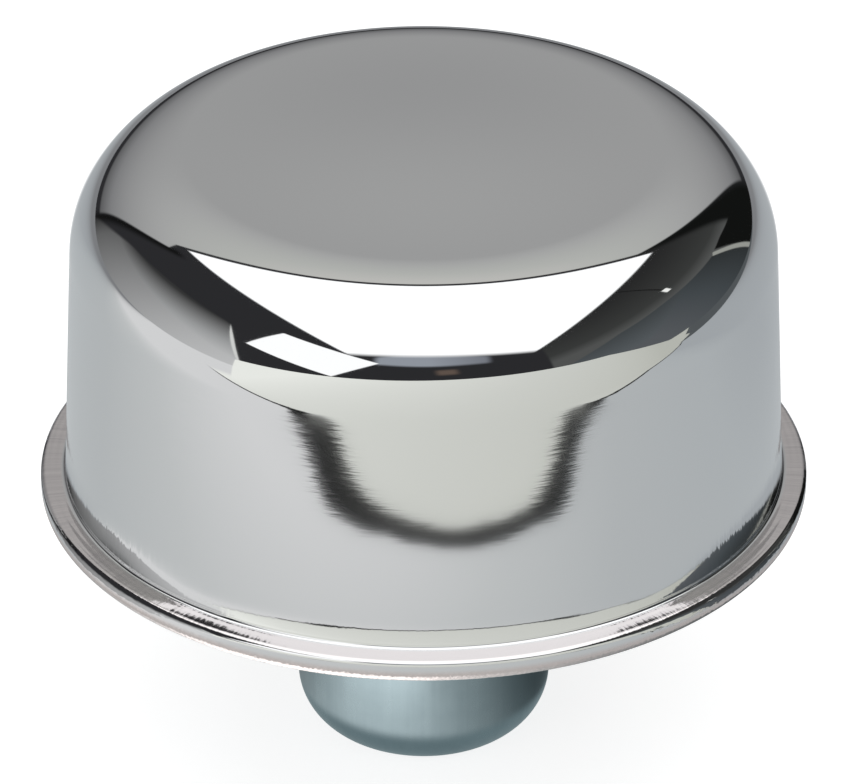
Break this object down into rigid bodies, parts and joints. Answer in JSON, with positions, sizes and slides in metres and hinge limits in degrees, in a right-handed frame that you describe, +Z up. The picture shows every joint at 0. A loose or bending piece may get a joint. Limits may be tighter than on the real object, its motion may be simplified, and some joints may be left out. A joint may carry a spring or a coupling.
{
  "type": "crankcase breather filter",
  "caption": "Push-in crankcase breather filter: a plated cap rolled over a slotted base plate, with a round-ended neck below and a knitted wire packing inside.",
  "frame": {"origin": "centre of the neck's lower end", "axes": "+Z up the axis of the neck and cap, from the neck's mouth towards the crown"},
  "size_m": [0.0762, 0.0762, 0.0654],
  "materials": {
    "chrome_plate": "bright plated steel, satin on the wall, with fine draw marks",
    "zinc_plate": "dull blue-grey zinc plate",
    "bare_steel": "bare pressed sheet steel",
    "knitted_wire": "knitted steel wire, rolled and pressed"
  },
  "bodies": {
    "root": {"cap_shell": "chrome_plate", "base_plate": "zinc_plate", "neck": "zinc_plate", "drip_shield": "bare_steel", "support_screen": "bare_steel", "packing_lower": "knitted_wire", "packing_middle": "knitted_wire", "packing_upper": "knitted_wire", "core_tube": "bare_steel", "top_retainer": "bare_steel"}
  },
  "joints": []
}
